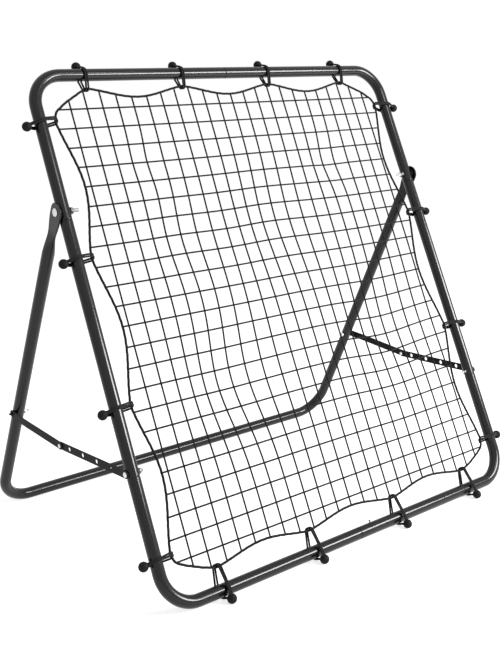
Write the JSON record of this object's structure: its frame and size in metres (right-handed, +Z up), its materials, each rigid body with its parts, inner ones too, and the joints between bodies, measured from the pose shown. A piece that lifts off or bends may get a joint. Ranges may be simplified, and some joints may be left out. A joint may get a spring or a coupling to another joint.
{
  "type": "soccer rebound net",
  "caption": "Square tube frame with a net held by ball bungees, leaning back on a folding U-shaped rear leg with hinged side braces.",
  "frame": {"origin": "on the floor, below the middle of the object as it stands open", "axes": "+X to the object's right seen from the front of the net, +Y to the back, +Z up"},
  "size_m": [1.012, 0.7122, 0.9842],
  "materials": {
    "black_steel": "black powder coat, semi-gloss",
    "zinc": "bright zinc plate",
    "dark_steel": "dark oxide",
    "net_twine": "knotted black twine",
    "bungee": "black elastic cord and plastic ball"
  },
  "bodies": {
    "root": {"bottom_tube_left": "black_steel", "bottom_tube_right": "black_steel", "side_tube_left": "black_steel", "side_tube_right": "black_steel", "top_tube_left": "black_steel", "top_tube_right": "black_steel", "bottom_seam_screw": "dark_steel", "top_seam_screw": "dark_steel", "net": "net_twine", "ball_bungee_bottom_1": "bungee", "ball_bungee_bottom_2": "bungee", "ball_bungee_bottom_3": "bungee", "ball_bungee_bottom_4": "bungee", "ball_bungee_top_1": "bungee", "ball_bungee_top_2": "bungee", "ball_bungee_top_3": "bungee", "ball_bungee_top_4": "bungee", "ball_bungee_left_1": "bungee", "ball_bungee_left_2": "bungee", "ball_bungee_left_3": "bungee", "ball_bungee_left_4": "bungee", "ball_bungee_right_1": "bungee", "ball_bungee_right_2": "bungee", "ball_bungee_right_3": "bungee", "ball_bungee_right_4": "bungee", "pivot_bolt_left": "zinc", "pivot_bolt_right": "zinc", "pivot_nut_left": "zinc", "pivot_nut_right": "zinc", "pivot_washer_left": "zinc", "pivot_washer_right": "zinc", "front_brace_bolt_left": "zinc", "front_brace_bolt_right": "zinc", "front_brace_nut_left": "zinc", "front_brace_nut_right": "zinc"},
    "rear_leg": {"rear_leg": "black_steel", "rear_brace_pin_left": "dark_steel", "rear_brace_pin_right": "dark_steel", "rear_brace_nut_left": "zinc", "rear_brace_nut_right": "zinc"},
    "front_brace_left": {"front_brace_left": "black_steel", "knuckle_nut_left": "zinc"},
    "rear_brace_left": {"rear_brace_left": "black_steel", "knuckle_bolt_left": "zinc"},
    "front_brace_right": {"front_brace_right": "black_steel", "knuckle_nut_right": "zinc"},
    "rear_brace_right": {"rear_brace_right": "black_steel", "knuckle_bolt_right": "zinc"}
  },
  "joints": [
    {"name": "leg_fold", "type": "hinge", "parent": "root", "child": "rear_leg", "pos_m": [0, -0.01539, 0.70522], "axis": [-1, 0, 0], "range_deg": [0, 36.5]},
    {"name": "front_brace_fold_left", "type": "hinge", "parent": "root", "child": "front_brace_left", "pos_m": [-0.4823, -0.21777, 0.24637], "axis": [-1, 0, 0], "range_deg": [0, 77.3]},
    {"name": "rear_brace_fold_left", "type": "hinge", "parent": "rear_leg", "child": "rear_brace_left", "pos_m": [-0.4983, 0.21793, 0.2551], "axis": [1, 0, 0], "range_deg": [0, 99.2]},
    {"name": "front_brace_fold_right", "type": "hinge", "parent": "root", "child": "front_brace_right", "pos_m": [0.4823, -0.21777, 0.24637], "axis": [-1, 0, 0], "range_deg": [0, 77.3]},
    {"name": "rear_brace_fold_right", "type": "hinge", "parent": "rear_leg", "child": "rear_brace_right", "pos_m": [0.4983, 0.21793, 0.2551], "axis": [1, 0, 0], "range_deg": [0, 99.2]}
  ],
  "couplings": [
    {"joint": "front_brace_fold_left", "follows": "leg_fold", "ratio": 2.1169},
    {"joint": "rear_brace_fold_left", "follows": "leg_fold", "ratio": 2.7156},
    {"joint": "front_brace_fold_right", "follows": "leg_fold", "ratio": 2.1169},
    {"joint": "rear_brace_fold_right", "follows": "leg_fold", "ratio": 2.7156}
  ]
}
